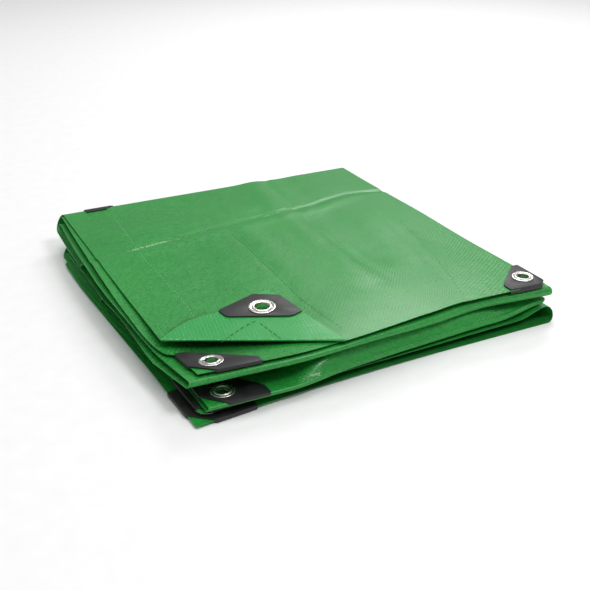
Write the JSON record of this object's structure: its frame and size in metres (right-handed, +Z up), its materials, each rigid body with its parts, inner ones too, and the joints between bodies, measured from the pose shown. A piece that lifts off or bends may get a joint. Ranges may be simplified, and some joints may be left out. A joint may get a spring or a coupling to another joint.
{
  "type": "folded tarp",
  "caption": "Woven tarp folded into a flat, loosely layered pile, with plastic guards at its corners and edges and metal eyelets through most of them.",
  "frame": {"origin": "on the surface that the pile rests on, below the middle of its bounding box", "axes": "+X to the right along the front folds, +Y to the back folds, +Z up"},
  "size_m": [0.376, 0.3934, 0.0446],
  "materials": {
    "coated_cloth": "green woven sheeting with a satin coating",
    "guard_plastic": "charcoal moulded plastic, satin",
    "eyelet_metal": "nickel plated, bright"
  },
  "bodies": {
    "root": {"tarp_cloth": "coated_cloth", "guard_dog_ear": "guard_plastic", "guard_second_sheet": "guard_plastic", "guard_front_turn": "guard_plastic", "guard_bottom_inner": "guard_plastic", "guard_bottom_outer": "guard_plastic", "guard_right_edge": "guard_plastic", "guard_back_turn": "guard_plastic", "eyelet_dog_ear": "eyelet_metal", "eyelet_second_sheet": "eyelet_metal", "eyelet_front_turn": "eyelet_metal", "eyelet_bottom_outer": "eyelet_metal", "eyelet_right_edge": "eyelet_metal"}
  },
  "joints": []
}
